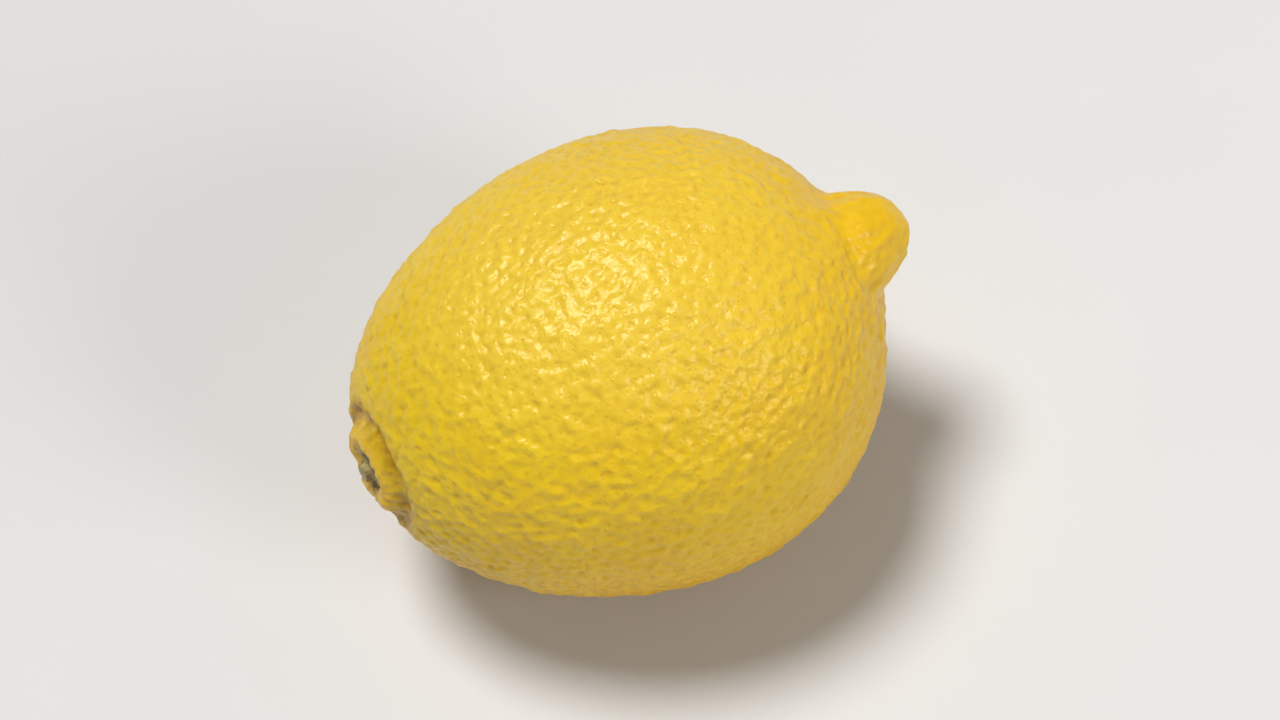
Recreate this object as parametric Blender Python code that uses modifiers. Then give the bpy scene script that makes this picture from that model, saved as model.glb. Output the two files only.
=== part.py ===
"""A whole lemon, about 84 mm long, lying on its side on the small flat spot it rests on.

Units are metres and +Z is up. The long axis runs along X, with the stem end towards -X and the
blunt nipple of the blossom end towards +X. The origin is at the bottom centre of the lemon's box.
"""

import math

import bmesh
import bpy
import numpy as np
from mathutils import Matrix, Vector

MM = 0.001
GAP = 0.3 * MM  # between two pieces that touch

# The body: an egg, turned about X
HALF_LENGTH = 38.5 * MM
HALF_WIDTH = 32.1 * MM
FULLNESS = 0.10  # how much of its width the blossom half gains and the stem half loses
BOW = 0.45 * MM  # how far the middle lies away from the crease's side
RINGS = 54
STEPS = 60
RING_CROWDING = 0.66  # how much closer the rings lie at the two ends than in the middle

# The nipple: an oval dome that grows out beside the body's tip
NIPPLE_SIDE = Vector((0.0, 0.06, 1.0)).normalized()
NIPPLE_OFFSET = 10.4 * MM
NIPPLE_CENTRE_X = 35.1 * MM
NIPPLE_ROOT_DEPTH = 5.5 * MM  # behind the dome's centre, where the rays that draw it start
NIPPLE_REACH = 9.7 * MM
NIPPLE_RADIUS = 7.3 * MM
CREASE_SIDE = Vector((0.0, 0.85, 0.52)).normalized()
CREASE_BLEND = 1.0 * MM  # how softly the dome leaves the body on the crease's side
SHOULDER_BLEND = 10.5 * MM  # and on the side across from it
CREASE_NARROWING = 3  # how closely the crease keeps to its side

# The stem end, measured from its own centre, which lies a little off the body's axis
STEM_SIDE = Vector((0.0, -0.84, 0.54)).normalized()
STEM_OFFSET = 4.0 * MM
DIMPLE_DEPTH = 1.5 * MM
DIMPLE_RADIUS = 3.3 * MM
COLLAR_HEIGHT = 0.7 * MM
COLLAR_RADIUS = 5.2 * MM
COLLAR_WIDTH = 1.5 * MM
FURROW_DEPTH = 1.1 * MM
FURROW_RADIUS = 8.0 * MM
FURROW_WIDTH = 1.3 * MM
STEM_REACH = 14.0 * MM  # nothing of the stem end's shape is left this far out

FLAT_DEPTH = 0.6 * MM  # cut off the underside

# The stem button: the dried calyx in the dimple, with the clipped stub of the stem on it
CALYX_RADIUS = 2.6 * MM
CALYX_THICKNESS = 0.7 * MM
CALYX_EDGE = 0.4 * MM
CALYX_LOBES = 5
LOBE_SHARE = 0.16
STUB_RADIUS = 1.3 * MM
STUB_HEIGHT = 1.1 * MM
BUTTON_STEPS = 40

RIND_COLOUR = (0.83, 0.57, 0.05, 1.0)
BUTTON_COLOUR = (0.23, 0.21, 0.08, 1.0)


def bell(distance, width):
    return math.exp(-((distance / width) ** 2))


def leaned(point):
    """Leans a point of the unit sphere, so that the rings at each end close in on its feature."""
    if point.x > 0.0:
        side, lean = NIPPLE_SIDE, NIPPLE_OFFSET / (HALF_WIDTH * (1.0 + FULLNESS))
    else:
        side, lean = STEM_SIDE, STEM_OFFSET / (HALF_WIDTH * (1.0 - FULLNESS))
    axis = Vector((point.x, 0.0, 0.0)).cross(side)
    return Matrix.Rotation(lean * point.x**2, 3, axis) @ point if axis.length else point


def egg_point(along, side, up):
    """The point of the egg that a point of the unit sphere stands for."""
    width = HALF_WIDTH * (1.0 + FULLNESS * along)
    bow = BOW * (1.0 - along**2)
    return Vector((HALF_LENGTH * along, width * side, width * up)) - bow * CREASE_SIDE


def dome_reach(root, away):
    """How far the dome's surface lies from a point inside it, along a unit direction."""
    size = Vector((NIPPLE_REACH, NIPPLE_RADIUS, NIPPLE_RADIUS))
    way = Vector(np.divide(away, size))
    back = Vector(np.divide(root, size))
    steep, early = way.dot(way), back.dot(way)
    return (math.sqrt(early**2 + steep * (1.0 - back.dot(back))) - early) / steep


def with_nipple(point):
    """Moves a point of the egg out from the nipple's root, to where the dome stands proud of it."""
    centre = Vector((NIPPLE_CENTRE_X, 0.0, 0.0)) + NIPPLE_OFFSET * NIPPLE_SIDE
    root = centre - Vector((NIPPLE_ROOT_DEPTH, 0.0, 0.0))
    away = point - root
    distance = away.length
    away.normalize()
    dome = dome_reach(root - centre, away)
    own_side = (0.5 + 0.5 * (point - centre).normalized().dot(CREASE_SIDE)) ** CREASE_NARROWING
    blend = SHOULDER_BLEND + (CREASE_BLEND - SHOULDER_BLEND) * own_side
    share = min(max(0.5 + 0.5 * (dome - distance) / blend, 0.0), 1.0)
    reach = distance + (dome - distance) * share + blend * share * (1.0 - share)
    return root + away * reach


def stem_frame():
    """The stem end's centre on the egg, with its Z axis along the outward normal there."""
    across = STEM_OFFSET / (HALF_WIDTH * (1.0 - FULLNESS))
    centre = egg_point(-math.sqrt(1.0 - across**2), *(across * STEM_SIDE).yz)
    step = 0.01
    outer = egg_point(-math.sqrt(1.0 - (across + step) ** 2), *((across + step) * STEM_SIDE).yz)
    slope = (outer - centre).normalized()
    sideways = Vector((1.0, 0.0, 0.0)).cross(slope).normalized()
    normal = slope.cross(sideways)
    if normal.x > 0.0:
        normal.negate()
    turn = normal.to_track_quat("Z", "Y").to_matrix().to_4x4()
    return Matrix.Translation(centre) @ turn


def stem_height(radius):
    """How far the stem end's surface stands above the plain egg, at this distance from its centre."""
    dimple = -DIMPLE_DEPTH * math.exp(-((radius / DIMPLE_RADIUS) ** 4))
    collar = COLLAR_HEIGHT * bell(radius - COLLAR_RADIUS, COLLAR_WIDTH)
    furrow = -FURROW_DEPTH * bell(radius - FURROW_RADIUS, FURROW_WIDTH)
    return dimple + collar + furrow


def with_stem_end(point, frame):
    local = frame.inverted() @ point
    radius = math.hypot(local.x, local.y)
    if radius > STEM_REACH or local.z < -STEM_REACH:
        return point
    return point + frame.col[2].xyz * stem_height(radius)


def material(name, colour, roughness):
    made = bpy.data.materials.new(name)
    made.use_nodes = True
    shader = made.node_tree.nodes["Principled BSDF"]
    shader.inputs["Base Color"].default_value = colour
    shader.inputs["Roughness"].default_value = roughness
    shader.inputs["Metallic"].default_value = 0.0
    return made


def add_object(name, mesh, collection):
    made = bpy.data.objects.new(name, mesh)
    collection.objects.link(made)
    return made


def profile_mesh(name, points):
    """An open chain of edges through points of the XZ plane."""
    mesh = bpy.data.meshes.new(name)
    edges = [(i, i + 1) for i in range(len(points) - 1)]
    mesh.from_pydata([(x, 0.0, z) for x, z in points], edges, [])
    return mesh


def turned_mesh(name, points, steps, axis, collection):
    """The mesh that a profile makes when it is turned about an axis."""
    guide = add_object(name + "_profile", profile_mesh(name + "_profile", points), collection)
    screw = guide.modifiers.new("turn", "SCREW")
    screw.axis = axis
    screw.steps = steps
    screw.render_steps = steps
    screw.use_merge_vertices = True
    screw.merge_threshold = 0.00001
    evaluated = guide.evaluated_get(bpy.context.evaluated_depsgraph_get())
    mesh = bpy.data.meshes.new_from_object(evaluated)
    mesh.name = name
    bpy.data.objects.remove(guide)
    shape = bmesh.new()
    shape.from_mesh(mesh)
    bmesh.ops.remove_doubles(shape, verts=shape.verts, dist=0.00001)
    bmesh.ops.recalc_face_normals(shape, faces=shape.faces)
    shape.to_mesh(mesh)
    shape.free()
    return mesh


def fruit_profile():
    """Half an egg's outline from the stem end to the blossom end, with rings crowded at both."""
    points = []
    for ring in range(RINGS + 1):
        share = ring / RINGS
        crowded = share - RING_CROWDING * math.sin(2.0 * math.pi * share) / (2.0 * math.pi)
        along = -math.cos(math.pi * crowded)
        out = math.sin(math.pi * crowded) if 0 < ring < RINGS else 0.0
        points.append((along, out))
    return points


def make_fruit(collection, rind):
    mesh = turned_mesh("lemon_fruit", fruit_profile(), STEPS, "X", collection)
    frame = stem_frame()
    for vertex in mesh.vertices:
        point = with_nipple(egg_point(*leaned(vertex.co)))
        vertex.co = with_stem_end(point, frame)
    mesh.shade_smooth()
    mesh.materials.append(rind)
    return add_object("lemon_fruit", mesh, collection)


def button_floor(radius):
    """The dimple's floor under the button, in the stem end's own frame."""
    curve = radius**2 * HALF_LENGTH / (2.0 * (HALF_WIDTH * (1.0 - FULLNESS)) ** 2)
    return stem_height(radius) - curve


def button_profile():
    """From the top of the stub, down its side, out over the calyx and back under it."""
    top = button_floor(0.0) + GAP + CALYX_THICKNESS + STUB_HEIGHT
    rounding = 0.35 * STUB_RADIUS
    points = [(0.0, top), (STUB_RADIUS - rounding, top)]
    for turn in (30.0, 60.0, 90.0):
        angle = math.radians(turn)
        points.append(
            (
                STUB_RADIUS - rounding * (1.0 - math.sin(angle)),
                top - rounding * (1.0 - math.cos(angle)),
            )
        )
    for share in (0.0, 0.3, 0.65, 1.0):
        radius = STUB_RADIUS * 1.15 + (CALYX_RADIUS - STUB_RADIUS * 1.15) * share
        thickness = CALYX_THICKNESS + (CALYX_EDGE - CALYX_THICKNESS) * share
        points.append((radius, button_floor(radius) + GAP + thickness))
    for share in (1.0, 0.75, 0.5, 0.25, 0.0):
        radius = CALYX_RADIUS * share
        points.append((radius, button_floor(radius) + GAP))
    return points


def make_button(collection, dried):
    """The turned button with its calyx drawn out into lobes and set in the dimple."""
    mesh = turned_mesh("stem_button", button_profile(), BUTTON_STEPS, "Z", collection)
    for vertex in mesh.vertices:
        radius = math.hypot(vertex.co.x, vertex.co.y)
        share = min(max((radius - STUB_RADIUS) / (CALYX_RADIUS - STUB_RADIUS), 0.0), 1.0)
        angle = math.atan2(vertex.co.y, vertex.co.x)
        reach = 1.0 + LOBE_SHARE * share * math.cos(CALYX_LOBES * angle)
        lifted = button_floor(radius * reach) - button_floor(radius)
        vertex.co = Vector((vertex.co.x * reach, vertex.co.y * reach, vertex.co.z + lifted))
    mesh.transform(stem_frame())
    mesh.shade_smooth()
    mesh.set_sharp_from_angle(angle=math.radians(40.0))
    mesh.materials.append(dried)
    return add_object("stem_button", mesh, collection)


def box_of(objects):
    """The lowest and highest corners of the objects' meshes."""
    corners = np.array([vertex.co for made in objects for vertex in made.data.vertices])
    return Vector(corners.min(axis=0)), Vector(corners.max(axis=0))


def set_on_ground(objects):
    """Moves the meshes so that the flat spot is at Z 0 and the box is centred over the origin."""
    low, high = box_of(objects)
    middle = (low + high) / 2.0
    shift = Matrix.Translation((-middle.x, -middle.y, -low.z - FLAT_DEPTH))
    for made in objects:
        made.data.transform(shift)


def cut_flat_spot(fruit, cutters):
    """Takes everything below the ground off the fruit."""
    block = bmesh.new()
    bmesh.ops.create_cube(block, size=1.0)
    size = Vector((3.0 * HALF_LENGTH, 3.0 * HALF_WIDTH, 10.0 * MM))
    bmesh.ops.scale(block, vec=size, verts=block.verts)
    bmesh.ops.translate(block, vec=(0.0, 0.0, -size.z / 2.0), verts=block.verts)
    mesh = bpy.data.meshes.new("flat_spot_cutter")
    block.to_mesh(mesh)
    block.free()
    cutter = add_object("flat_spot_cutter", mesh, cutters)
    cutter.hide_render = True
    cutter.display_type = "WIRE"
    cut = fruit.modifiers.new("flat_spot", "BOOLEAN")
    cut.operation = "DIFFERENCE"
    cut.solver = "EXACT"
    cut.object = cutter


def main():
    for old in list(bpy.data.objects):
        bpy.data.objects.remove(old)
    parts = bpy.data.collections.new("lemon")
    cutters = bpy.data.collections.new("cutters")
    for collection in (parts, cutters):
        bpy.context.scene.collection.children.link(collection)
    fruit = make_fruit(parts, material("rind", RIND_COLOUR, 0.4))
    button = make_button(parts, material("dried_calyx", BUTTON_COLOUR, 0.8))
    set_on_ground([fruit, button])
    cut_flat_spot(fruit, cutters)


main()
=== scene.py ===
# %% [markdown]
# # A lemon, grown from rules
#
# The object is one ripe lemon lying on its side. A separate file holds its plain solids at real size, and
# this notebook gives them the looks: the swelling of the fruit, the oil glands that pit its rind, the blunt
# nipple, the furrowed stem end, the dried calyx, and the colours and gloss of each.
#
# Everything is in metres. The long axis runs along X, with the nipple towards +X and the stem end towards
# -X. The solids are loaded first, because their box says how large the finished fruit is and where it lies.

# %% Load the solids
import math

import bmesh
import bpy
import numpy as np
from mathutils import Matrix, Vector, noise


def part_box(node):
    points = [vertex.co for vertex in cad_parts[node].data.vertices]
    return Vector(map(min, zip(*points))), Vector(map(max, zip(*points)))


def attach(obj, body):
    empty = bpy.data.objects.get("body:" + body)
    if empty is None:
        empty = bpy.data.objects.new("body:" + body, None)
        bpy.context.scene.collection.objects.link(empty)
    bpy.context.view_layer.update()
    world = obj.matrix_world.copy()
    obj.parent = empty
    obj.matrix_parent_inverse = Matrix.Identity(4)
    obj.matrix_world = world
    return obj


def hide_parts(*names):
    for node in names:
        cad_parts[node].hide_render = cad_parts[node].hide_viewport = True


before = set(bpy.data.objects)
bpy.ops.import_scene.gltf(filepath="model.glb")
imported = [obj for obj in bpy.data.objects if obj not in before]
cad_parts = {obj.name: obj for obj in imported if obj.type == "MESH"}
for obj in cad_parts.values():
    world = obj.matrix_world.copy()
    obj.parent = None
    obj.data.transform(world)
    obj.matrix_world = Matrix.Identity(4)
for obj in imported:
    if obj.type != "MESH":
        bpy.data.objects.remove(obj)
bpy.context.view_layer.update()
fruit_low, fruit_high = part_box("lemon_fruit")
MM = 0.001
print("fruit is", [round(side / MM, 1) for side in fruit_high - fruit_low], "mm")

# %% [markdown]
# ## Arithmetic on nodes
#
# Both the shape and the colours of a fruit are sums of simple rules, and Blender's nodes can work them out
# for every point at once. Wiring each sum by hand is slow to read, so a small class wraps a node's output
# and gives it Python's operators. It picks Math for numbers and Vector Math for vectors, because a Math
# node would flatten a vector.


# %% Node arithmetic
def is_vector(term):
    """Whether a term is a vector: an output's socket says so, and so does anything that isn't a number."""
    if isinstance(term, Output):
        return term.socket.type == "VECTOR"
    return not isinstance(term, (int, float))


class Output:
    """A node's output. An operator on it adds the Math or Vector Math node that works it out."""

    def __init__(self, graph, socket):
        self.graph = graph
        self.socket = socket

    def maths(self, operation, *terms, output=0):
        kind = "ShaderNodeVectorMath" if any(map(is_vector, terms)) else "ShaderNodeMath"
        return self.graph.node(kind, {"operation": operation}, dict(enumerate(terms)), output)

    def __add__(self, other):
        return self.maths("ADD", self, other)

    def __radd__(self, other):
        return self.maths("ADD", other, self)

    def __sub__(self, other):
        return self.maths("SUBTRACT", self, other)

    def __rsub__(self, other):
        return self.maths("SUBTRACT", other, self)

    def __mul__(self, other):
        return self.maths("MULTIPLY", self, other)

    def __rmul__(self, other):
        return self.maths("MULTIPLY", other, self)

    def __truediv__(self, other):
        return self.maths("DIVIDE", self, other)

    def __rtruediv__(self, other):
        return self.maths("DIVIDE", other, self)

    def __pow__(self, other):
        return self.maths("POWER", self, other)

    def __neg__(self):
        return self * -1.0

    def __abs__(self):
        return self.maths("ABSOLUTE", self)

    def dot(self, other):
        return self.maths("DOT_PRODUCT", self, other, output="Value")

    def length(self):
        return self.maths("LENGTH", self, output="Value")

    def unit(self):
        return self.maths("NORMALIZE", self)

    def root(self):
        return self.maths("SQRT", self)

    def exp(self):
        return self.maths("EXPONENT", self)

    def least(self, other):
        return self.maths("MINIMUM", self, other)

    def most(self, other):
        return self.maths("MAXIMUM", self, other)

    def held(self):
        """The value kept from 0 to 1."""
        return self.graph.node("ShaderNodeClamp", {}, {"Value": self})

    def ramp(self, start, end):
        """0 at start and before it, 1 at end and after it, and smooth between."""
        settings = {"interpolation_type": "SMOOTHSTEP"}
        return self.graph.node("ShaderNodeMapRange", settings, {0: self, 1: start, 2: end})

    def axis(self, name):
        return self.graph.node("ShaderNodeSeparateXYZ", {}, {0: self}, name)


print("a vector counts as one:", is_vector(Vector()), "and a number:", is_vector(1.0))

# %% [markdown]
# ## One way to add a node
#
# A tree could be filled by hand, with a line for each node and each socket. One method that takes a node's
# type, its settings and its sockets says the same in a single line, for shaders and geometry alike. The
# settings go in first, because they decide which sockets the node has.


# %% Node trees
class Graph:
    """A node tree. One method adds any node: its type, then its settings, then its sockets."""

    def __init__(self, tree):
        self.tree = tree

    def node(self, kind, settings=None, sockets=None, output=0):
        made = self.tree.nodes.new(kind)
        for name, value in (settings or {}).items():
            setattr(made, name, value)
        for key, value in (sockets or {}).items():
            self.connect(self.find(made.inputs, key), value)
        return Output(self, self.find(made.outputs, output)) if made.outputs else made

    def find(self, sockets, key):
        """A socket by its number, its identifier, or its name."""
        if isinstance(key, int):
            return sockets[key]
        for socket in sockets:
            if socket.identifier == key:
                return socket
        return sockets[key]

    def connect(self, socket, value):
        if isinstance(value, Output):
            self.tree.links.new(value.socket, socket)
        elif socket.type == "VECTOR" and isinstance(value, (int, float)):
            socket.default_value = (value, value, value)
        else:
            socket.default_value = value

    def vector(self, x, y, z):
        return self.node("ShaderNodeCombineXYZ", {}, {0: x, 1: y, 2: z})

    def mix(self, share, first, second):
        """A colour between two colours."""
        sockets = {"Factor_Float": share, "A_Color": first, "B_Color": second}
        return self.node("ShaderNodeMix", {"data_type": "RGBA"}, sockets, "Result_Color")

    def tint(self, share, first, second):
        """The first colour multiplied by the second, as far as the share says."""
        settings = {"data_type": "RGBA", "blend_type": "MULTIPLY"}
        sockets = {"Factor_Float": share, "A_Color": first, "B_Color": second}
        return self.node("ShaderNodeMix", settings, sockets, "Result_Color")

    def noise(self, where, size, detail=2.0, roughness=0.5):
        """Smooth noise from 0 to 1 whose patches are about that size in metres."""
        sockets = {"Vector": where, "Scale": 1.0 / size, "Detail": detail, "Roughness": roughness}
        return self.node("ShaderNodeTexNoise", {}, sockets, "Fac")


print("a graph can", [name for name in vars(Graph) if not name.startswith("_")])

# %% [markdown]
# ## Trees that make meshes
#
# Geometry Nodes will make the fruit. A tree is built once, with a named input for each size, and a modifier
# on an object runs it. The modifier's values go in by each socket's identifier before the object is first
# evaluated. The result is then copied to a plain mesh, so that nothing live is left on the finished piece.


# %% Geometry tree helpers
SOCKET_KINDS = {float: "NodeSocketFloat", int: "NodeSocketInt", Vector: "NodeSocketVector"}


class ShapeTree(Graph):
    """A Geometry Nodes tree with an input for each named value, and one geometry in and out."""

    def __init__(self, name, values):
        super().__init__(bpy.data.node_groups.new(name, "GeometryNodeTree"))
        face = self.tree.interface
        face.new_socket("Geometry", in_out="INPUT", socket_type="NodeSocketGeometry")
        face.new_socket("Geometry", in_out="OUTPUT", socket_type="NodeSocketGeometry")
        self.values = dict(values)
        for label, value in self.values.items():
            face.new_socket(label, in_out="INPUT", socket_type=SOCKET_KINDS[type(value)])
        self.entry = self.tree.nodes.new("NodeGroupInput")

    def given(self, label):
        return Output(self, self.entry.outputs[label])

    def close(self, geometry, material):
        """Ends the tree in Realize Instances and Set Material."""
        whole = self.node("GeometryNodeRealizeInstances", {}, {"Geometry": geometry})
        done = self.node("GeometryNodeSetMaterial", {}, {"Geometry": whole, "Material": material})
        self.node("NodeGroupOutput", {}, {"Geometry": done})

    def run(self, name, mesh):
        """A plain mesh object of what the tree makes out of the given mesh."""
        carrier = bpy.data.objects.new(name, mesh)
        bpy.context.scene.collection.objects.link(carrier)
        modifier = carrier.modifiers.new("nodes", "NODES")
        modifier.node_group = self.tree
        for item in self.tree.interface.items_tree:
            if item.in_out == "INPUT" and item.name in self.values:
                modifier[item.identifier] = self.values[item.name]
        evaluated = carrier.evaluated_get(bpy.context.evaluated_depsgraph_get())
        made = bpy.data.meshes.new_from_object(evaluated)
        carrier.modifiers.remove(modifier)
        carrier.data = made
        made.name = name
        return carrier


print("kinds of input", list(SOCKET_KINDS.values()))

# %% [markdown]
# ## The form of the fruit
#
# A lemon's body is an egg, a little fuller towards the blossom end and bowed by a hair to one side. It could
# be sculpted, but its outline follows a rule, so the rule can move the points of a ready-made mesh. The few
# sizes below drive everything: change one and the nipple, the stem end and the calyx move with it.

# %% The fruit's sizes
CORNERS = 126  # along each edge of the starting cube
HALF_LENGTH = 38.5 * MM
HALF_WIDTH = 32.1 * MM
FULLNESS = 0.10
BOW = 0.45 * MM
STEM_SIDE = Vector((0.0, -0.84, 0.54)).normalized()
STEM_OFFSET = 4.0 * MM
CREASE_SIDE = Vector((0.0, 0.85, 0.52)).normalized()
NIPPLE_SIDE = Vector((0.0, 0.06, 1.0)).normalized()
NIPPLE_OFFSET = 10.4 * MM
NIPPLE_CENTRE = Vector((35.1 * MM, 0.0, 0.0)) + NIPPLE_OFFSET * NIPPLE_SIDE
NIPPLE_ROOT_DEPTH = 5.5 * MM


def egg_point(along, side, up):
    """The point of the egg that a point of the unit sphere stands for."""
    width = HALF_WIDTH * (1.0 + FULLNESS * along)
    bow = BOW * (1.0 - along**2)
    return Vector((HALF_LENGTH * along, width * side, width * up)) - bow * CREASE_SIDE


def stem_frame():
    """The stem end's centre on the egg, with its Z axis along the outward normal there."""
    across = STEM_OFFSET / (HALF_WIDTH * (1.0 - FULLNESS))
    centre = egg_point(-math.sqrt(1.0 - across**2), *(across * STEM_SIDE).yz)
    further = across + 0.01
    outer = egg_point(-math.sqrt(1.0 - further**2), *(further * STEM_SIDE).yz)
    slope = (outer - centre).normalized()
    sideways = Vector((1.0, 0.0, 0.0)).cross(slope).normalized()
    normal = slope.cross(sideways)
    if normal.x > 0.0:
        normal.negate()
    return Matrix.Translation(centre) @ normal.to_track_quat("Z", "Y").to_matrix().to_4x4()


stem = stem_frame()
form_sizes = {
    "Corners": CORNERS,
    "Half Length": HALF_LENGTH,
    "Half Width": HALF_WIDTH,
    "Fullness": FULLNESS,
    "Bow": BOW,
    "Crowding": 0.38,
    "Crease Side": CREASE_SIDE,
    "Nipple Centre": NIPPLE_CENTRE,
    "Nipple Root": NIPPLE_CENTRE - Vector((NIPPLE_ROOT_DEPTH, 0.0, 0.0)),
    "Nipple Reach": 9.7 * MM,
    "Nipple Radius": 7.3 * MM,
    "Crease Blend": 1.0 * MM,
    "Shoulder Blend": 10.5 * MM,
    "Stem Centre": stem.translation.copy(),
    "Stem Normal": stem.col[2].xyz,
    "Dimple Depth": 1.5 * MM,
    "Dimple Radius": 3.3 * MM,
    "Collar Height": 0.7 * MM,
    "Collar Radius": 5.2 * MM,
    "Collar Width": 1.5 * MM,
    "Furrow Depth": 1.1 * MM,
    "Furrow Radius": 8.0 * MM,
    "Furrow Width": 1.3 * MM,
}
print(len(form_sizes), "sizes for the form")

# %% [markdown]
# ## The body
#
# The points start on a subdivided cube, blown up to a ball. A ready-made globe would be simpler, but its
# rings crowd at two poles and leave slivers there. The cube's faces stay nearly square, which suits fine
# pits. They are then leaned and drawn towards the nipple and the stem end, where the form is smallest, and
# the ball is stretched to the egg.


# %% The body's points
EXTRA_CROWDING = 0.6  # how much closer the points draw at the nipple than at the stem end


def ball_points(tree):
    """The cube's points spread evenly over the unit sphere, then leaned and drawn towards both ends."""
    corner = tree.node("GeometryNodeInputPosition") * (math.pi / 4.0)
    ball = corner.maths("TANGENT", corner).unit()
    along = ball.axis("X")
    crowding = tree.given("Crowding") * (1.0 + EXTRA_CROWDING * along.most(0.0))
    across = 1.0 - crowding * along**4.0
    nipple_lean = NIPPLE_SIDE * (NIPPLE_OFFSET / (HALF_WIDTH * (1.0 + FULLNESS)))
    stem_lean = STEM_SIDE * (STEM_OFFSET / (HALF_WIDTH * (1.0 - FULLNESS)))
    lean = along.most(0.0) ** 2.0 * nipple_lean + along.least(0.0) ** 2.0 * stem_lean
    return (ball * tree.vector(1.0, across, across) + lean).unit()


def egg(tree, ball):
    """The ball's points stretched to the egg, as egg_point does for one point."""
    along = ball.axis("X")
    width = tree.given("Half Width") * (1.0 + tree.given("Fullness") * along)
    stretched = ball * tree.vector(tree.given("Half Length"), width, width)
    return stretched - tree.given("Crease Side") * (tree.given("Bow") * (1.0 - along**2.0))


print("the body is an egg", round(2.0 * HALF_LENGTH / MM, 1), "mm long")

# %% [markdown]
# ## The nipple
#
# The nipple is what is left of the flower's ovary: a blunt dome that grows out beside the tip of the egg. On
# one side a sharp crease parts it from the body, and on the other it runs smoothly into a shoulder. A second
# mesh joined by a Boolean would show a hard edge all round. So each point is pushed out along a ray from a
# root inside the fruit, to where the ray leaves an oval dome, and the blend between egg and dome is wide on
# the shoulder's side and narrow on the crease's side.


# %% The nipple's rule
def with_nipple(tree, point):
    """Pushes points out from the nipple's root to the dome, with a blend that widens at the shoulder."""
    centre, root = tree.given("Nipple Centre"), tree.given("Nipple Root")
    reach, radius = tree.given("Nipple Reach"), tree.given("Nipple Radius")
    size = tree.vector(reach, radius, radius)
    away = point - root
    distance = away.length()
    away = away.unit()
    way, back = away / size, (root - centre) / size
    steep, early = way.dot(way), back.dot(way)
    # The ray leaves the dome where steep * t**2 + 2 * early * t + back.dot(back) is 1.
    dome = ((early * early + steep * (1.0 - back.dot(back))).root() - early) / steep
    crease_side = 0.5 + 0.5 * (point - centre).unit().dot(tree.given("Crease Side"))
    shoulder = tree.given("Shoulder Blend")
    blend = shoulder + (tree.given("Crease Blend") - shoulder) * crease_side**3.0
    share = (0.5 + 0.5 * (dome - distance) / blend).held()
    # A soft maximum: the further of the two distances, rounded where they meet.
    out = distance + (dome - distance) * share + blend * share * (1.0 - share)
    return root + away * out


nipple_tip = NIPPLE_CENTRE.x + form_sizes["Nipple Reach"]
print("the nipple stands", round((nipple_tip - HALF_LENGTH) / MM, 1), "mm proud")

# %% [markdown]
# ## The stem end
#
# Where the fruit hung, the rind rises in a low collar with a furrow around it and a dimple inside, which
# holds the calyx. All three are round about one axis. A bell curve of the distance from that axis is the
# gentlest ring there is. The collar and the furrow are two such curves, the dimple is one with a flatter
# floor, and the three are added together.


# %% The stem end's rule
STEM_END_REACH = (-20.0 * MM, -10.0 * MM)  # from here up along the stem's axis its rings fade in


def bell(offset, width):
    """1 where the offset is 0, falling softly to nothing past the width."""
    step = offset / width
    return (-(step * step)).exp()


def with_stem_end(tree, point):
    """Lifts the collar and sinks the dimple and the furrow along the stem end's own axis."""
    normal = tree.given("Stem Normal")
    offset = point - tree.given("Stem Centre")
    height = offset.dot(normal)
    radius = (offset - normal * height).length()
    dimple = (-((radius / tree.given("Dimple Radius")) ** 4.0)).exp() * tree.given("Dimple Depth")
    collar = bell(radius - tree.given("Collar Radius"), tree.given("Collar Width"))
    furrow = bell(radius - tree.given("Furrow Radius"), tree.given("Furrow Width"))
    lift = collar * tree.given("Collar Height") - furrow * tree.given("Furrow Depth") - dimple
    return point + normal * (lift * height.ramp(*STEM_END_REACH))


print("the collar is", round(2.0 * form_sizes["Collar Radius"] / MM, 1), "mm across")

# %% [markdown]
# ## Growing the form
#
# The rules run one after another in a single tree that starts from a cube primitive. The finished form is
# then moved, once, so that its highest corner meets the solid's, because the rules count from the middle of
# the egg and the solids from the floor.


# %% Grow the form
def build_form(material):
    """The smooth fruit, grown from a cube primitive by the rules above."""
    tree = ShapeTree("lemon form", form_sizes)
    count = tree.given("Corners")
    sockets = {"Size": 2.0, "Vertices X": count, "Vertices Y": count, "Vertices Z": count}
    cube = tree.node("GeometryNodeMeshCube", {}, sockets, "Mesh")
    point = with_stem_end(tree, with_nipple(tree, egg(tree, ball_points(tree))))
    moved = tree.node("GeometryNodeSetPosition", {}, {"Geometry": cube, "Position": point})
    smooth = tree.node("GeometryNodeSetShadeSmooth", {}, {"Geometry": moved})
    tree.close(smooth, material)
    return tree.run("smooth_lemon", bpy.data.meshes.new("seed"))


rind = bpy.data.materials.new("lemon_rind")
smooth_fruit = build_form(rind)
points = np.array([vertex.co for vertex in smooth_fruit.data.vertices])
to_solid = fruit_high - Vector(points.max(axis=0))
smooth_fruit.data.transform(Matrix.Translation(to_solid))
nipple_base = NIPPLE_CENTRE + to_solid
stem_base = stem.translation + to_solid
print(len(smooth_fruit.data.polygons), "faces, moved by", [round(step / MM, 2) for step in to_solid], "mm")

# %% [markdown]
# ## The rind's relief
#
# A lemon's skin is rough at four scales at once. Oil glands sink small pits, the rind between them is
# pebbled, wider ripples run through the pebbles, and the whole side swells and sinks softly. Folds run out
# from both ends, and a shallow furrow, the areola, rings the nipple. A bump map would be cheaper, but it
# leaves the outline smooth and is lost when the mesh is used elsewhere, so all of these are real shape.
# Bump comes later, only to sharpen them and to add finer grain.

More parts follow.
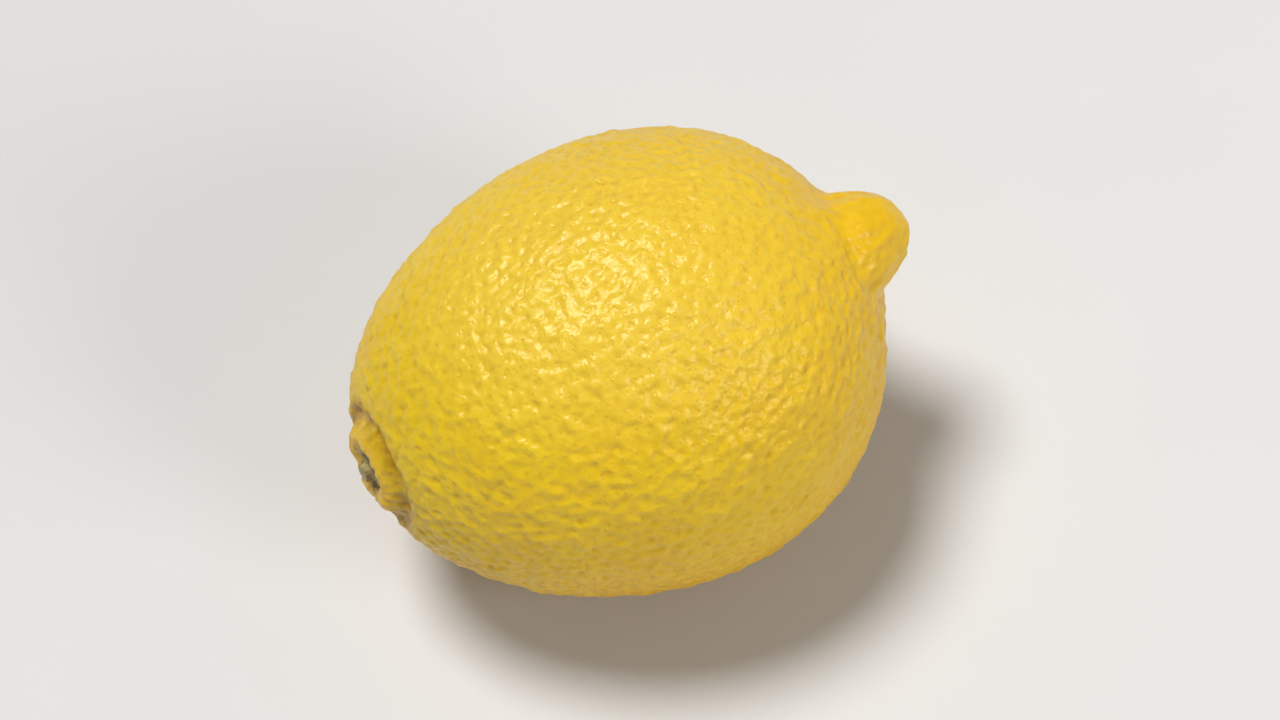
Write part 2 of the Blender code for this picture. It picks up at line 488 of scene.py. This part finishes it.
# %% The relief's sizes
relief_sizes = {
    "Gland Spacing": 1.8 * MM,
    "Gland Depth": 0.24 * MM,
    "Gland Radius": 1.0 * MM,
    "Gland Seed": 4,
    "Pebble Height": 0.95 * MM,
    "Pebble Size": 1.9 * MM,
    "Ripple Height": 0.45 * MM,
    "Ripple Size": 4.8 * MM,
    "Swell Height": 0.7 * MM,
    "Swell Size": 24.0 * MM,
    "Nipple Crease Depth": 0.28 * MM,
    "Stem Crease Depth": 0.35 * MM,
    "Nipple Base": nipple_base,
    "Areola Centre": nipple_base + Vector((2.0 * MM, -2.2 * MM, 0.6 * MM)),
    "Areola Radius": 8.3 * MM,
    "Areola Width": 1.1 * MM,
    "Areola Depth": 0.72 * MM,
    "Scar": nipple_base + Vector((8.3 * MM, -2.6 * MM, -0.9 * MM)),
    "Scar Radius": 2.5 * MM,
    "Scar Depth": 0.5 * MM,
    "Stem": stem_base,
    "Stem Normal": form_sizes["Stem Normal"],
    "Rest Softness": 0.4 * MM,
}
print(len(relief_sizes), "sizes for the relief")

# %% [markdown]
# ## Oil glands
#
# The glands lie under the whole rind, evenly crowded but in no pattern. A cell texture could pit the rind,
# but its cells differ too much in size. Scattering one point for each gland with a least distance between
# neighbours gives the even crowding that growth does, and the distance from a vertex to its nearest point
# gives the pit. The pit's depth is kept as an attribute, because the paint will want it.


# %% Scatter the glands
def glands(tree, surface):
    """How deep in a gland's pit each point lies, from 0 on the rind between pits to 1 at a pit's middle."""
    settings = {"distribute_method": "POISSON"}
    spacing = tree.given("Gland Spacing")
    sockets = {"Mesh": surface, "Distance Min": spacing, "Density Max": 6.0 / (spacing * spacing)}
    sockets |= {"Density Factor": 1.0, "Seed": tree.given("Gland Seed")}
    scattered = tree.node("GeometryNodeDistributePointsOnFaces", settings, sockets, "Points")
    settings = {"target_element": "POINTS"}
    away = tree.node("GeometryNodeProximity", settings, {"Target": scattered}, "Distance")
    return 1.0 - away.ramp(0.0, tree.given("Gland Radius"))


print("glands", round(relief_sizes["Gland Spacing"] / MM, 1), "mm apart")

# %% [markdown]
# ## Folds at the two ends
#
# The rind gathers into folds that run out from the nipple and from the stem's collar, as the skin of a drawn
# bag does. Curves laid on the surface would make them, but folds have no clear number or length. Noise read
# around a circle gives bands of every width, and the thin line where it passes its middle value is a crease.


# %% Creases
FOLD_WIDTH = 0.16  # how far the noise may stray from its middle value within a crease
FOLD_WANDER = 60.0  # how soon a crease bends or ends on its way out, per metre
FOLD_REACH = (-16.0 * MM, -8.0 * MM)  # from here up along the axis the folds fade in
LIP_HEIGHT = 0.3  # as a share of the scar's depth


def creases(tree, point, centre, axis, count, inner, outer):
    """Creases that run out from a centre: 0 between them, 1 along them, none past the outer radius."""
    away = point - centre
    depth = away.dot(axis)
    radial = away - axis * depth
    out = radial.length()
    # A circle is about six radii long, so this one passes a patch of noise for each fold.
    around = radial.unit() * (count / 6.0) + axis * (out * FOLD_WANDER)
    fold = abs(tree.noise(around, 1.0, detail=1.0) - 0.5)
    # Creases are deepest from the inner radius to a little past it, and fade from there both ways.
    zone = out.ramp(inner * 0.5, inner) * (1.0 - out.ramp(inner * 1.2, outer))
    return (1.0 - fold.ramp(0.0, FOLD_WIDTH)) * zone * depth.ramp(*FOLD_REACH)


def scar_pit(tree, point):
    """1 in the little hollow that the style left, with a low lip around it."""
    # All distances here are shares of the scar's radius.
    away = (point - tree.given("Scar")).length() / tree.given("Scar Radius")
    lip = away.ramp(0.7, 1.05) * (1.0 - away.ramp(1.05, 1.5))
    return 1.0 - away.ramp(0.2, 1.0) - LIP_HEIGHT * lip


print("folds fade in over", round((FOLD_REACH[1] - FOLD_REACH[0]) / MM, 1), "mm along their axis")

# %% [markdown]
# ## Adding the relief up
#
# Each kind of relief is a height along the surface's normal, so they simply add. The rind is calmer on the
# nipple and the collar than on the sides, which one mask says. Last, the underside is pressed flat where
# the fruit rests: points below the floor are lifted onto it, and a soft maximum rounds the edge of the spot.

# %% The relief's tree
CALM_STRENGTH = 0.4  # the share of the relief that is left where the rind is calm
CALM_NIPPLE = (8.0 * MM, 15.0 * MM)  # calm up to the first distance, and rough past the second
CALM_STEM = (4.0 * MM, 10.0 * MM)
LEVEL_STEM = (3.0 * MM, 12.0 * MM)  # no swelling up to the first distance
NIPPLE_FOLDS = (12.0, 7.0 * MM, 22.0 * MM)  # how many, and the radii that they run between
STEM_FOLDS = (11.0, 4.5 * MM, 13.0 * MM)


def relief_height(tree, point, pit):
    """How far the finished rind stands above the smooth form."""
    nipple, stem_point = tree.given("Nipple Base"), tree.given("Stem")
    nipple_away, stem_away = (point - nipple).length(), (point - stem_point).length()
    pebble = tree.noise(point, tree.given("Pebble Size"), detail=1.0, roughness=0.6) - 0.5
    ripple = tree.noise(point, tree.given("Ripple Size"), detail=0.0) - 0.5
    swell = tree.noise(point, tree.given("Swell Size"), detail=1.0) - 0.5
    rough = nipple_away.ramp(*CALM_NIPPLE) * stem_away.ramp(*CALM_STEM)
    strength = CALM_STRENGTH + (1.0 - CALM_STRENGTH) * rough
    height = (pebble * tree.given("Pebble Height") + ripple * tree.given("Ripple Height")) * strength
    height = height + swell * tree.given("Swell Height") * stem_away.ramp(*LEVEL_STEM)
    height = height - pit * strength * tree.given("Gland Depth")
    areola_away = (point - tree.given("Areola Centre")).length()
    areola = bell(areola_away - tree.given("Areola Radius"), tree.given("Areola Width"))
    height = height - areola * tree.given("Areola Depth")
    nipple_creases = creases(tree, point, nipple, tree.vector(1.0, 0.0, 0.0), *NIPPLE_FOLDS)
    stem_creases = creases(tree, point, stem_point, tree.given("Stem Normal"), *STEM_FOLDS)
    height = height - nipple_creases * tree.given("Nipple Crease Depth")
    height = height - stem_creases * tree.given("Stem Crease Depth")
    return height - scar_pit(tree, point) * tree.given("Scar Depth")


def rested(tree, level):
    """Heights above the floor as they are, those below it lifted onto it, and a rounded turn between."""
    soft = tree.given("Rest Softness")
    overlap = (soft - abs(level)).most(0.0) / soft
    return level.most(0.0) + overlap * overlap * soft * 0.25


def build_relief(base, material):
    """The smooth form with its relief added, its pits marked and its underside rested, as a new object."""
    tree = ShapeTree("rind relief", relief_sizes)
    surface = Output(tree, tree.entry.outputs["Geometry"])
    point = tree.node("GeometryNodeInputPosition")
    pit = glands(tree, surface)
    rough = point + tree.node("GeometryNodeInputNormal") * relief_height(tree, point, pit)
    settings = {"data_type": "FLOAT", "domain": "POINT"}
    sockets = {"Geometry": surface, "Name": "pit", "Value": pit}
    marked = tree.node("GeometryNodeStoreNamedAttribute", settings, sockets)
    placed = tree.vector(rough.axis("X"), rough.axis("Y"), rested(tree, rough.axis("Z")))
    moved = tree.node("GeometryNodeSetPosition", {}, {"Geometry": marked, "Position": placed})
    tree.close(moved, material)
    return tree.run("lemon_skin", base)


fruit = build_relief(smooth_fruit.data, rind)
bpy.data.objects.remove(smooth_fruit)
print(len(fruit.data.vertices), "points with pits")

# %% [markdown]
# ## Is the mesh fine enough?
#
# A pit needs several edges across it, or it turns into a dent with corners. Measuring the edges is quicker
# than looking for such dents, and it shows whether the two ends have the finer faces that they need.


# %% Measure the mesh
def edge_lengths(mesh, centre, radius):
    """The lengths in millimetres of the edges that start within a radius of a centre."""
    places = np.array([vertex.co for vertex in mesh.vertices])
    ends = np.array([edge.vertices for edge in mesh.edges])
    starts = places[ends[:, 0]]
    near = np.linalg.norm(starts - np.array(centre), axis=1) < radius
    return np.linalg.norm(starts - places[ends[:, 1]], axis=1)[near] / MM


whole = edge_lengths(fruit.data, nipple_base, 1.0)
print("edges of", round(whole.mean(), 2), "mm, the longest", round(whole.max(), 2))
print("at the nipple", round(edge_lengths(fruit.data, nipple_base, 10.0 * MM).mean(), 2))
print("at the stem", round(edge_lengths(fruit.data, stem_base, 8.0 * MM).mean(), 2))

# %% [markdown]
# ## The stem button
#
# A picked lemon keeps its calyx, the small dry star that held the flower, with a stub of the clipped stem on
# it. It sits in the dimple, so the first thing to know is the dimple's own shape, which the same rules give.

# %% The dimple's floor
CALYX_RADIUS = 2.6 * MM
LOBE_SHARE = 0.16
STUB_RADIUS = 1.3 * MM
STUB_HEIGHT = 2.1 * MM


def dimple_floor(radius):
    """The height of the rind under the button, measured along the stem's axis."""
    sizes = form_sizes
    dimple = -sizes["Dimple Depth"] * math.exp(-((radius / sizes["Dimple Radius"]) ** 4))
    collar_step = (radius - sizes["Collar Radius"]) / sizes["Collar Width"]
    furrow_step = (radius - sizes["Furrow Radius"]) / sizes["Furrow Width"]
    collar = sizes["Collar Height"] * math.exp(-(collar_step**2))
    furrow = sizes["Furrow Depth"] * math.exp(-(furrow_step**2))
    curve = radius**2 * HALF_LENGTH / (2.0 * (HALF_WIDTH * (1.0 - FULLNESS)) ** 2)
    return dimple + collar - furrow - curve


dimple_rise = dimple_floor(CALYX_RADIUS) - dimple_floor(0.0)
print("the dimple rises", round(dimple_rise / MM, 2), "mm under the button")

# %% [markdown]
# ## The button's outline
#
# Seen from the side, the button is a stub that flares into a thin plate and comes back under itself. It is a
# turned shape, so one outline serves all the way round. The plate follows the dimple's floor a hair above
# it, and the outline is cut into short steps so that the bark's grain has points to move.


# %% The button's outline
PLATE_THICKNESS = 0.85 * MM  # beside the stub
PLATE_THINNING = 0.4 * MM  # how much thinner the plate gets towards its edge
RIM_HEIGHT = 0.25 * MM
RIND_GAP = 0.06 * MM  # from the plate's underside to the rind
OUTLINE_STEP = 0.14 * MM


def button_profile():
    """Radius and height from the middle of the stub's cut face out over the calyx and back under it."""
    top = dimple_floor(0.0) + STUB_HEIGHT
    points = [(0.1 * MM, top - 0.12 * MM), (STUB_RADIUS * 0.5, top - 0.08 * MM), (STUB_RADIUS * 0.85, top)]
    points += [(STUB_RADIUS, top - 0.12 * MM), (STUB_RADIUS * 1.02, top - 0.8 * MM)]
    points += [(STUB_RADIUS * 1.15, top - 1.05 * MM), (STUB_RADIUS * 1.4, top - 1.25 * MM)]
    for share in (0.45, 0.7, 0.9, 1.0):
        radius = STUB_RADIUS + (CALYX_RADIUS - STUB_RADIUS) * share
        points.append((radius, dimple_floor(radius) + PLATE_THICKNESS - PLATE_THINNING * share**2))
    points.append((CALYX_RADIUS * 1.03, dimple_floor(CALYX_RADIUS) + RIM_HEIGHT))
    for share in (1.0, 0.75, 0.5, 0.25, 0.04):
        radius = CALYX_RADIUS * share
        points.append((radius, dimple_floor(radius) + RIND_GAP))
    return points


def spaced(points, step):
    """The same line with points no further apart than the step."""
    line = [Vector(points[0])]
    for start, end in zip(points, points[1:]):
        start, end = Vector(start), Vector(end)
        pieces = max(1, math.ceil((end - start).length / step))
        line += [start.lerp(end, (piece + 1) / pieces) for piece in range(pieces)]
    return line


profile = spaced(button_profile(), OUTLINE_STEP)
print(len(profile), "points along the outline")

# %% [markdown]
# ## Lobes and ribs
#
# A calyx has five lobes. The turned shape becomes a star when its radius swings with five times the angle,
# which is simpler than modelling one lobe and repeating it, and leaves no seams. A rib follows each lobe,
# and shallow furrows run up the stub as they do on a twig.


# %% The button's surface
LOBES = 5.0
RIB_HEIGHT = 0.22 * MM
STUB_FURROWS = 17.0
STUB_FURROW_DEPTH = 0.05 * MM
FINE_GRAIN = (2400.0, 0.05 * MM)  # patches in a metre, and their height
COARSE_GRAIN = (1000.0, 0.07 * MM)


def calyx_point(radius, height, angle):
    """A point of the turned profile, drawn out into lobes with a rib along each and a notch between."""
    share = min(max((radius - STUB_RADIUS) / (CALYX_RADIUS - STUB_RADIUS), 0.0), 1.0)
    lobe = math.cos(LOBES * angle)
    reach = radius * (1.0 + LOBE_SHARE * share * lobe)
    lift = dimple_floor(reach) - dimple_floor(radius)
    above = height - dimple_floor(radius)
    # The ribs fade out towards the plate's underside.
    rib = RIB_HEIGHT * share * (lobe - 0.4) * min(above / (0.5 * MM), 1.0)
    furrow = STUB_FURROW_DEPTH * math.cos(STUB_FURROWS * angle + 2.0 * math.sin(3.0 * angle))
    reach += furrow * (1.0 - share) * min(radius / STUB_RADIUS, 1.0) ** 3
    return Vector((reach * math.cos(angle), reach * math.sin(angle), height + lift + rib))


def bark_grain(place):
    """A fine and a coarse roughness, in metres."""
    return sum(noise.noise(place * patches) * height for patches, height in (FINE_GRAIN, COARSE_GRAIN))


print("a lobe reaches", round(calyx_point(CALYX_RADIUS, 0.0, 0.0).xy.length / MM, 2), "mm")

# %% [markdown]
# ## Building the button
#
# bmesh rings are the shortest way here: a ring of points for each step of the outline, joined to the next by
# quads, with a cap at each end. Every point is then pushed in or out along its normal by the bark's grain.


# %% Build the button
SEGMENTS = 110  # points around each ring


def build_button(material):
    """The calyx and its stub as one closed mesh, in its place in the dimple."""
    angles = [2.0 * math.pi * segment / SEGMENTS for segment in range(SEGMENTS)]
    shape = bmesh.new()
    loops = [[shape.verts.new(calyx_point(*step, angle)) for angle in angles] for step in profile]
    for inner, outer in zip(loops, loops[1:]):
        for segment in range(SEGMENTS):
            after = (segment + 1) % SEGMENTS
            shape.faces.new((inner[segment], outer[segment], outer[after], inner[after]))
    shape.faces.new(loops[0])
    shape.faces.new(reversed(loops[-1]))
    bmesh.ops.recalc_face_normals(shape, faces=shape.faces)
    shape.normal_update()
    for vertex in shape.verts:
        vertex.co += vertex.normal * bark_grain(vertex.co)
    shape.transform(Matrix.Translation(to_solid) @ stem)
    mesh = bpy.data.meshes.new("calyx")
    shape.to_mesh(mesh)
    shape.free()
    mesh.shade_smooth()
    mesh.materials.append(material)
    made = bpy.data.objects.new("calyx", mesh)
    bpy.context.scene.collection.objects.link(made)
    return made


bark = bpy.data.materials.new("dried_calyx")
button = build_button(bark)
print(len(button.data.polygons), "faces in the button")

# %% [markdown]
# ## Starting a finish
#
# Every finish starts the same way: a material that uses nodes, its one Principled shader, and the place of
# each point on the piece. Generated coordinates would stretch each pattern to the piece's box. Object
# coordinates are metres on the piece itself, so a pattern's size can be given as it is on a real lemon.


# %% Material helpers
def shader_graph(material):
    """The material's node tree and its shader."""
    material.use_nodes = True
    graph = Graph(material.node_tree)
    return graph, material.node_tree.nodes["Principled BSDF"]


def object_point(graph):
    """Each point's place on its piece, in metres."""
    return graph.node("ShaderNodeTexCoord", {}, {}, "Object")


print("places on the fruit span", [round(side / MM) for side in fruit.dimensions], "mm")

# %% [markdown]
# ## The rind's yellow
#
# A ripe lemon is one yellow only from afar. Close to, it wanders between warm and clear yellow in patches as
# wide as a thumb. It is deeper towards the nipple, and it keeps a little green around the stem. A paler
# yellow painted on top is a painted sheen, and a deeper yellow painted underneath is painted shade. A
# painted picture would need the surface unwrapped, with a seam somewhere. Noise and distances in the fruit's
# own space need neither.

# %% The yellow
WARM_YELLOW = (0.78, 0.49, 0.010, 1.0)
CLEAR_YELLOW = (0.80, 0.55, 0.014, 1.0)
BRIGHT_YELLOW = (0.85, 0.60, 0.018, 1.0)
PAINTED_SHEEN_YELLOW = (0.81, 0.57, 0.070, 1.0)
DEEP_YELLOW = (0.79, 0.44, 0.008, 1.0)
UNDERSIDE_SHADE_YELLOW = (0.77, 0.40, 0.002, 1.0)
GREEN_YELLOW = (0.60, 0.45, 0.012, 1.0)
TOP_SHEEN_HEIGHTS = (48.0 * MM, 61.0 * MM)  # heights at which the painted sheen starts and is full
UNDERSIDE_SHADE_HEIGHTS = (5.0 * MM, 45.0 * MM)
NIPPLE_HALF = (-5.0 * MM, 45.0 * MM)  # places along the fruit
STEM_REGION = (3.0 * MM, 38.0 * MM)  # distances from the stem


def yellow_and_painted_light(graph, where, broad, patch, stem_away):
    """The rind's colour without its pits and marks, with a painted sheen on top and painted shade
    underneath.
    """
    colour = graph.mix(broad.ramp(0.3, 0.7), WARM_YELLOW, CLEAR_YELLOW)
    colour = graph.mix(patch.ramp(0.35, 0.75) * 0.35, colour, BRIGHT_YELLOW)
    # Painted sheen: a paler yellow on top stands in for the soft glow of the highlight there.
    painted_top_sheen = where.axis("Z").ramp(*TOP_SHEEN_HEIGHTS)
    colour = graph.mix(painted_top_sheen * 0.5, colour, PAINTED_SHEEN_YELLOW)
    towards_nipple = where.axis("X").ramp(*NIPPLE_HALF)
    colour = graph.mix(towards_nipple * 0.38, colour, DEEP_YELLOW)
    # Painted shade: the underside is a deeper, darker yellow, as the shade beneath the fruit makes it.
    under = 1.0 - where.axis("Z").ramp(*UNDERSIDE_SHADE_HEIGHTS)
    colour = graph.mix(under * 0.75, colour, UNDERSIDE_SHADE_YELLOW)
    around_stem = 1.0 - stem_away.ramp(*STEM_REGION)
    return graph.mix(around_stem * 0.35, colour, GREEN_YELLOW)


deepest, palest = (round(tone[1] / tone[0], 2) for tone in (UNDERSIDE_SHADE_YELLOW, PAINTED_SHEEN_YELLOW))
print("green for each part of red:", deepest, "underneath and", palest, "on top")

# %% [markdown]
# ## Marks on the rind
#
# Three places are brown or tan on a real lemon: the scar where the flower's style broke off the nipple, the
# hollow under the calyx, and the collar, where dust and rubbing gather. A blotchy brown ring also darkens
# the furrow around the collar. Each is a distance from a known point turned into a mask. Noise is added to
# the distance first, so that the edge is ragged and no mark looks drawn with a compass.

# %% The marks
SCAR_BROWN = (0.27, 0.16, 0.04, 1.0)
HOLLOW_BROWN = (0.27, 0.19, 0.03, 1.0)
COLLAR_TAN = (0.68, 0.38, 0.040, 1.0)
FURROW_BROWN = (0.33, 0.14, 0.006, 1.0)
SCAR_EDGE = (0.5 * MM, 1.7 * MM)  # each mark is full up to the first distance and gone past the second
HOLLOW_EDGE = (2.6 * MM, 4.0 * MM)
COLLAR_EDGE = (5.0 * MM, 8.0 * MM)
FURROW_RING_EDGE = (0.3 * MM, 3.0 * MM)
FURROW_RING_RADIUS = 8.6 * MM
BLOTCH_SIZE = 3.5 * MM


def with_marks(graph, where, colour, patch, small, stem_away):
    """The colour with the four brown marks over it."""
    ragged = (small - 0.5) * MM
    uneven = (patch - 0.5) * (2.0 * MM)
    scar = 1.0 - ((where - relief_sizes["Scar"]).length() + ragged * 1.6).ramp(*SCAR_EDGE)
    colour = graph.mix(scar * 0.75, colour, SCAR_BROWN)
    hollow = 1.0 - (stem_away + ragged * 1.2).ramp(*HOLLOW_EDGE)
    colour = graph.mix(hollow * 0.75, colour, HOLLOW_BROWN)
    collar = 1.0 - (stem_away + uneven).ramp(*COLLAR_EDGE)
    colour = graph.mix(collar * 0.5, colour, COLLAR_TAN)
    furrow_band = 1.0 - abs(stem_away - FURROW_RING_RADIUS + uneven).ramp(*FURROW_RING_EDGE)
    blotch = graph.noise(where, BLOTCH_SIZE, detail=3.0, roughness=0.6).ramp(0.34, 0.62)
    return graph.mix(furrow_band * (0.2 + 0.65 * blotch), colour, FURROW_BROWN)


print("the stain's ring is", round(2.0 * FURROW_RING_RADIUS / MM, 1), "mm across")

# %% [markdown]
# ## The rind's gloss
#
# The rind has a thin natural wax, so it shines softly, and every knob between the glands catches its own
# small light. One broad highlight would look like plastic. Bump makes the knobs crisper than the mesh does
# and adds grain that is too fine for the mesh's edges to carry. A little light sinks into the skin and comes
# out warmer, which subsurface scattering gives. Values that are the same all over are set on the shader
# itself.

# %% Paint the rind
PAINTED_PIT_SHADE = (0.85, 0.70, 0.35, 1.0)
GLOSS_TINT = (1.0, 0.96, 0.80, 1.0)
SKIN_GLOW = (1.0, 0.55, 0.1)
BROAD_SIZE = 30.0 * MM
PATCH_SIZE = 7.0 * MM
KNOB_SIZE = 1.7 * MM
SMALL_SIZE = 0.8 * MM
FINE_SIZE = 0.35 * MM
PORE_SPACING = 0.9 * MM
CLEAR_NIPPLE = (8.0 * MM, 16.0 * MM)  # pores are faint up to the first distance, and full past the second
CLEAR_STEM = (4.0 * MM, 8.0 * MM)


def rind_pores(graph, where, nipple_away, stem_away):
    """Fine pores between the glands, fainter on the nipple and the collar."""
    cells = {"Vector": where, "Scale": 1.0 / PORE_SPACING, "Randomness": 1.0}
    pore = 1.0 - graph.node("ShaderNodeTexVoronoi", {}, cells, "Distance").ramp(0.10, 0.42)
    return pore * (0.3 + 0.7 * nipple_away.ramp(*CLEAR_NIPPLE) * stem_away.ramp(*CLEAR_STEM))


def paint_rind(material):
    """The rind's colour, gloss and bump, from noises in its own space and the pits of its mesh."""
    graph, shader = shader_graph(material)
    where = object_point(graph)
    stem_away, nipple_away = (where - stem_base).length(), (where - nipple_base).length()
    broad = graph.noise(where, BROAD_SIZE, detail=2.0)
    patch = graph.noise(where, PATCH_SIZE, detail=2.0)
    knobbly = graph.noise(where, KNOB_SIZE, detail=1.0)
    small = graph.noise(where, SMALL_SIZE, detail=1.0)
    fine = graph.noise(where, FINE_SIZE, detail=1.0)
    pore = rind_pores(graph, where, nipple_away, stem_away)
    pit = graph.node("ShaderNodeAttribute", {"attribute_name": "pit"}, {}, "Fac")
    colour = yellow_and_painted_light(graph, where, broad, patch, stem_away)
    # Painted shade: the pits and pores are darkened, as the shade in these small hollows makes them.
    colour = graph.tint((pit * 0.3 + pore * 0.25).least(1.0), colour, PAINTED_PIT_SHADE)
    colour = with_marks(graph, where, colour, patch, small, stem_away)
    # These heights are in millimetres, because the bump's distance is one millimetre.
    relief = knobbly * 0.42 + small * 0.08 + fine * 0.02 - pore * 0.05
    bump = graph.node("ShaderNodeBump", {}, {"Strength": 1.0, "Distance": MM, "Height": relief})
    graph.connect(shader.inputs["Base Color"], colour)
    graph.connect(shader.inputs["Roughness"], 0.26 + 0.10 * small + 0.08 * broad)
    graph.connect(shader.inputs["Normal"], bump)
    shader.inputs["Specular IOR Level"].default_value = 0.4
    shader.inputs["Specular Tint"].default_value = GLOSS_TINT
    shader.inputs["Subsurface Weight"].default_value = 0.15
    shader.inputs["Subsurface Radius"].default_value = SKIN_GLOW
    shader.inputs["Subsurface Scale"].default_value = 1.5 * MM


paint_rind(rind)
print("rind painted with", len(rind.node_tree.nodes), "nodes")

# %% [markdown]
# ## The calyx's finish
#
# The calyx dries to a grey-brown bark, and the clipped end of the stub is paler wood. Mottled noise mixes
# the two browns, a distance from the stem's axis finds the stub, and the same mottle roughens the surface,
# so that dark spots are also hollows. Dead bark has no shine, so its roughness stays high.

# %% Paint the calyx
BARK_DARK = (0.20, 0.14, 0.045, 1.0)
BARK_LIGHT = (0.40, 0.33, 0.13, 1.0)
CUT_WOOD = (0.42, 0.36, 0.20, 1.0)
MOTTLE_SIZE = 1.2 * MM
STUB_EDGE = (1.0 * MM, 1.5 * MM)  # the pale wood ends between these distances from the stem's axis


def paint_calyx(material):
    """Two mottled browns with a paler stub, and a bump from the same mottle."""
    graph, shader = shader_graph(material)
    where = object_point(graph)
    normal = form_sizes["Stem Normal"]
    offset = where - stem_base
    radius = (offset - offset.dot(normal) * normal).length()
    mottle = graph.noise(where, MOTTLE_SIZE, detail=4.0)
    colour = graph.mix(mottle.ramp(0.35, 0.65), BARK_DARK, BARK_LIGHT)
    stub = 1.0 - radius.ramp(*STUB_EDGE)
    colour = graph.mix(stub * 0.7, colour, CUT_WOOD)
    bump = graph.node("ShaderNodeBump", {}, {"Strength": 0.5, "Distance": 0.2 * MM, "Height": mottle})
    graph.connect(shader.inputs["Base Color"], colour)
    graph.connect(shader.inputs["Roughness"], 0.7 + mottle * 0.2)
    graph.connect(shader.inputs["Normal"], bump)


paint_calyx(bark)
print("calyx painted with", len(bark.node_tree.nodes), "nodes")

# %% [markdown]
# ## The floor
#
# A pale, matt sheet shows the fruit's yellow truly and takes its shadow. It is a single large face, and a
# faint noise in its paint keeps it from looking like an empty background. It is no part of the object.


# %% Lay the floor
FLOOR_REACH = 12.0  # from its middle to each edge
FLOOR_GREY = (0.65, 0.643, 0.63, 1.0)
FLOOR_PALE = (0.68, 0.673, 0.66, 1.0)
FLOOR_PATCH_SIZE = 40.0 * MM


def make_floor():
    """A flat square of matt paper around the origin."""
    mesh = bpy.data.meshes.new("floor")
    shape = bmesh.new()
    bmesh.ops.create_grid(shape, x_segments=1, y_segments=1, size=FLOOR_REACH)
    shape.to_mesh(mesh)
    shape.free()
    sheet = bpy.data.objects.new("floor", mesh)
    bpy.context.scene.collection.objects.link(sheet)
    paper = bpy.data.materials.new("pale_paper")
    graph, shader = shader_graph(paper)
    grain = graph.noise(object_point(graph), FLOOR_PATCH_SIZE, detail=2.0)
    graph.connect(shader.inputs["Base Color"], graph.mix(grain, FLOOR_GREY, FLOOR_PALE))
    shader.inputs["Roughness"].default_value = 0.9
    mesh.materials.append(paper)
    return sheet


floor = make_floor()
print("the floor is", round(floor.dimensions.x), "m across")

# %% [markdown]
# ## The light
#
# A wide soft light from above gives a lemon its broad, broken highlight. A near lamp would make it, but the
# floor would then fade away from the fruit. A sun lamp with a wide angle is as soft and lights the floor
# evenly. A dim disc low on the front right gives the near side some form. The air glows a little, most at
# the horizon, so that a low view has pale ground behind the fruit.

# %% Set the lights
OVERHEAD_GLOW = 0.15
HORIZON_GLOW = 0.42  # added to the glow overhead
HORIZON_BAND = 0.3  # how far up from the horizon the extra glow reaches
middle = (fruit_low + fruit_high) / 2.0


def aim(thing, place, target):
    """Puts a lamp or camera at a place, looking at the target."""
    thing.location = place
    thing.rotation_mode = "QUATERNION"
    thing.rotation_quaternion = (target - place).to_track_quat("-Z", "Y")


def lamp(name, kind, power, direction, distance):
    """Adds a lamp that shines on the fruit's middle from a direction, and gives back its data."""
    data = bpy.data.lights.new(name, kind)
    data.energy = power
    light = bpy.data.objects.new(name, data)
    bpy.context.scene.collection.objects.link(light)
    aim(light, middle + Vector(direction).normalized() * distance, middle)
    return data


def make_world():
    """White air, dim overhead and brighter towards the horizon."""
    world = bpy.data.worlds.new("studio")
    bpy.context.scene.world = world
    world.use_nodes = True
    graph = Graph(world.node_tree)
    up = graph.node("ShaderNodeTexCoord", {}, {}, "Generated").axis("Z")
    background = world.node_tree.nodes["Background"]
    background.inputs["Color"].default_value = (1.0, 1.0, 1.0, 1.0)
    strength = OVERHEAD_GLOW + HORIZON_GLOW * (1.0 - up.ramp(0.0, HORIZON_BAND))
    graph.connect(background.inputs["Strength"], strength)


key = lamp("key", "SUN", power=2.8, direction=(-0.15, 0.21, 0.97), distance=1.0)
key.angle = math.radians(20.0)
fill = lamp("fill", "AREA", power=4.9, direction=(0.5, -0.7, 0.5), distance=1.2)
fill.shape = "DISK"
fill.size = 0.5
make_world()
bpy.context.scene.view_settings.view_transform = "Standard"
print("lights", [light.name for light in bpy.data.lights])

# %% [markdown]
# ## The camera
#
# The camera looks steeply down on the fruit from the front and a little from the stem's side, as one looks
# into a market crate, and leans by ten degrees. A long lens from more than half a metre away keeps the
# fruit's two ends in true proportion.

# %% Set the camera
CAMERA_PLACE = Vector((-57.0 * MM, -284.0 * MM, 511.2 * MM))
CAMERA_TARGET = Vector((0.6 * MM, 0.0, 32.0 * MM))
CAMERA_LEAN = math.radians(-10.3)
LENS_LENGTH = 112.0  # in millimetres, as cameras give it
camera_data = bpy.data.cameras.new("camera")
camera_data.lens = LENS_LENGTH
camera_data.clip_start = 10.0 * MM
camera = bpy.data.objects.new("camera", camera_data)
bpy.context.scene.collection.objects.link(camera)
aim(camera, CAMERA_PLACE, CAMERA_TARGET)
lean = Matrix.Rotation(CAMERA_LEAN, 3, "Z").to_quaternion()
camera.rotation_quaternion = camera.rotation_quaternion @ lean
bpy.context.scene.camera = camera
print("camera", round((CAMERA_PLACE - CAMERA_TARGET).length / MM), "mm from the fruit's middle")

# %% [markdown]
# ## Handing over
#
# Each finished piece rides on the one body and stands for its plain solid, which is hidden.

# %% Hand over
for piece, node, slot in ((fruit, "lemon_fruit", "rind"), (button, "stem_button", "dried_calyx")):
    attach(piece, "root")
    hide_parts(node)
    print(piece.name, "stands for", node)
